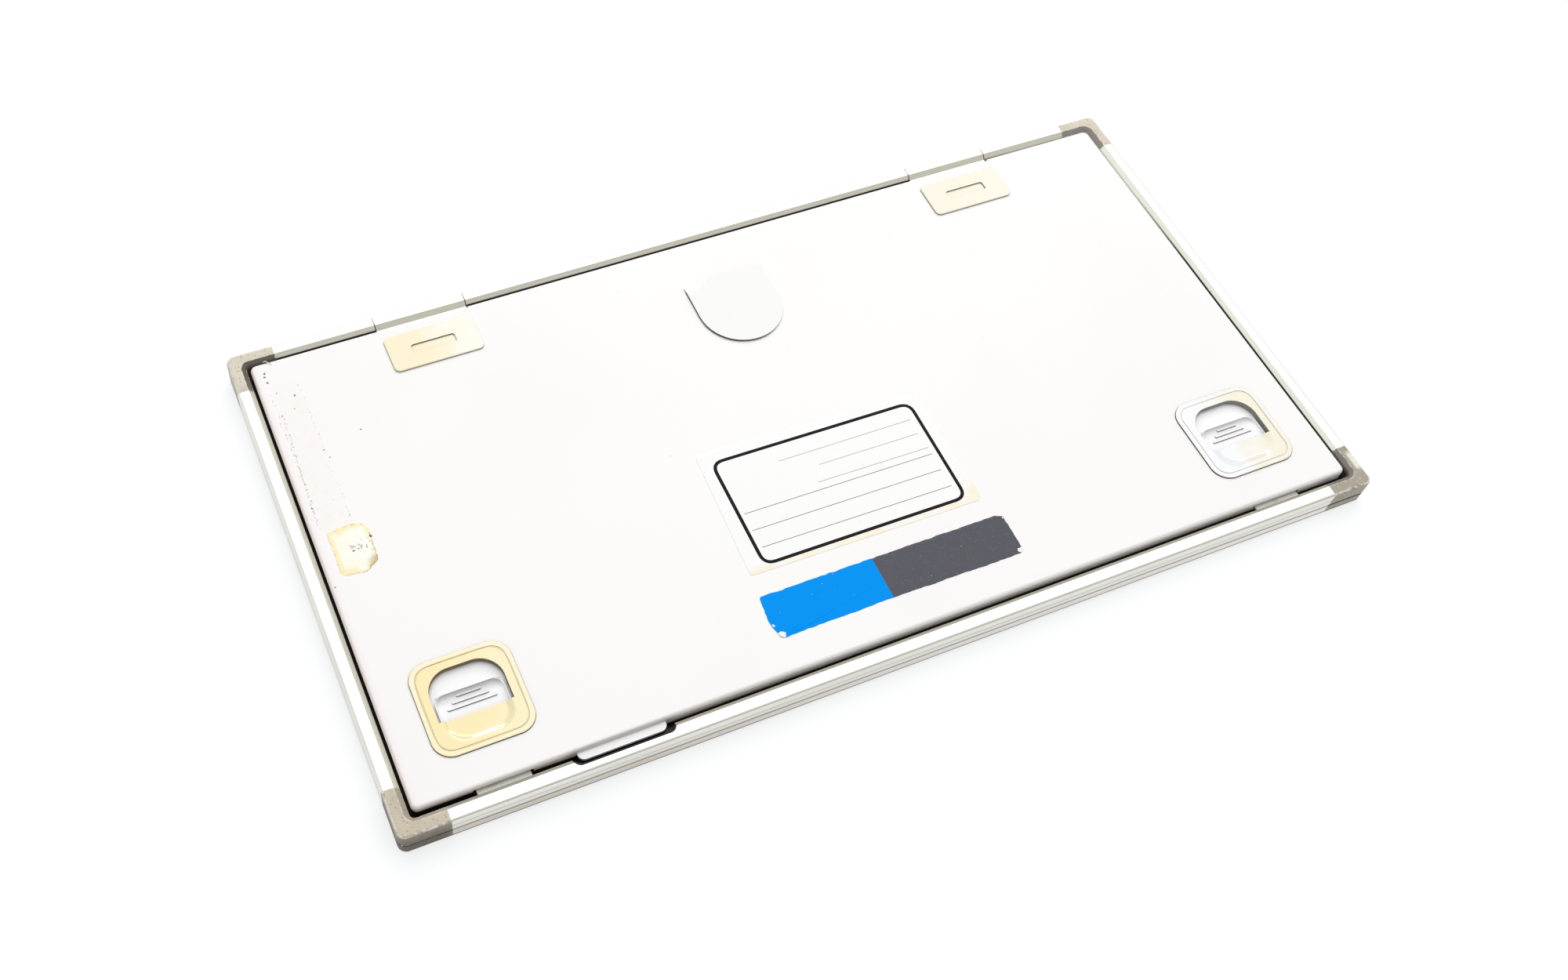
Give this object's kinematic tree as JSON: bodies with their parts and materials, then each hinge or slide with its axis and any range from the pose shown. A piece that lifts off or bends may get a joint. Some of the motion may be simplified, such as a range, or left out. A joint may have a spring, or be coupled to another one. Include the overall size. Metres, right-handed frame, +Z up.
{
  "type": "x-ray film cassette",
  "caption": "Flat hinged-lid x-ray film cassette: railed tray, sheet-metal lid, two sliding latches, lift tab and screens.",
  "frame": {"origin": "centre of the resting face, on the plane the rails' feet stand on", "axes": "+X along the long side, +Y from the latch side to the hinge side, +Z up through the closed lid"},
  "size_m": [0.428, 0.228, 0.0149],
  "materials": {
    "anodised_rail": "satin anodised",
    "corner_plastic": "moulded, slightly worn",
    "panel_paint": "smooth painted sheet",
    "screen": "smooth coated",
    "seal_felt": "black felt",
    "steel": "zinc plated",
    "lid_enamel": "warm off-white enamel",
    "plate_black": "matt black",
    "lead": "dull foil",
    "foam": "open-cell foam",
    "white_plastic": "moulded white",
    "cream_plastic": "yellowed cream"
  },
  "bodies": {
    "frame": {"rail_front": "anodised_rail", "rail_rear": "anodised_rail", "rail_left": "anodised_rail", "rail_right": "anodised_rail", "corner_front_left": "corner_plastic", "corner_front_right": "corner_plastic", "corner_rear_left": "corner_plastic", "corner_rear_right": "corner_plastic", "tube_panel": "panel_paint", "front_screen": "screen", "seal_front": "seal_felt", "seal_rear": "seal_felt", "seal_left": "seal_felt", "seal_right": "seal_felt", "hinge_pin_left": "steel", "hinge_pin_right": "steel"},
    "lid": {"lid_pan": "lid_enamel", "pressure_plate": "plate_black", "lead_foil": "lead", "pressure_foam": "foam", "back_screen": "screen", "lift_tab": "white_plastic", "hinge_block_left": "anodised_rail", "hinge_block_right": "anodised_rail", "hinge_cap_left": "cream_plastic", "hinge_cap_right": "cream_plastic", "hinge_screws_left": "steel", "hinge_screws_right": "steel", "latch_bezel_left": "cream_plastic", "latch_bezel_right": "cream_plastic", "latch_guide_left": "steel", "latch_guide_right": "steel", "latch_spring_left": "steel", "latch_spring_right": "steel"},
    "latch_left": {"latch_slide_left": "white_plastic", "latch_bolt_left": "steel", "latch_screws_left": "steel"},
    "latch_right": {"latch_slide_right": "white_plastic", "latch_bolt_right": "steel", "latch_screws_right": "steel"}
  },
  "joints": [
    {"name": "lid_hinge", "type": "hinge", "parent": "frame", "child": "lid", "pos_m": [0, 0.1106, 0.0106], "axis": [-1, 0, 0], "range_deg": [0, 180]},
    {"name": "latch_left_slide", "type": "slide", "parent": "lid", "child": "latch_left", "axis": [0, 1, 0], "range_m": [-0.0014, 0.0045]},
    {"name": "latch_right_slide", "type": "slide", "parent": "lid", "child": "latch_right", "axis": [0, 1, 0], "range_m": [-0.0014, 0.0045]}
  ]
}
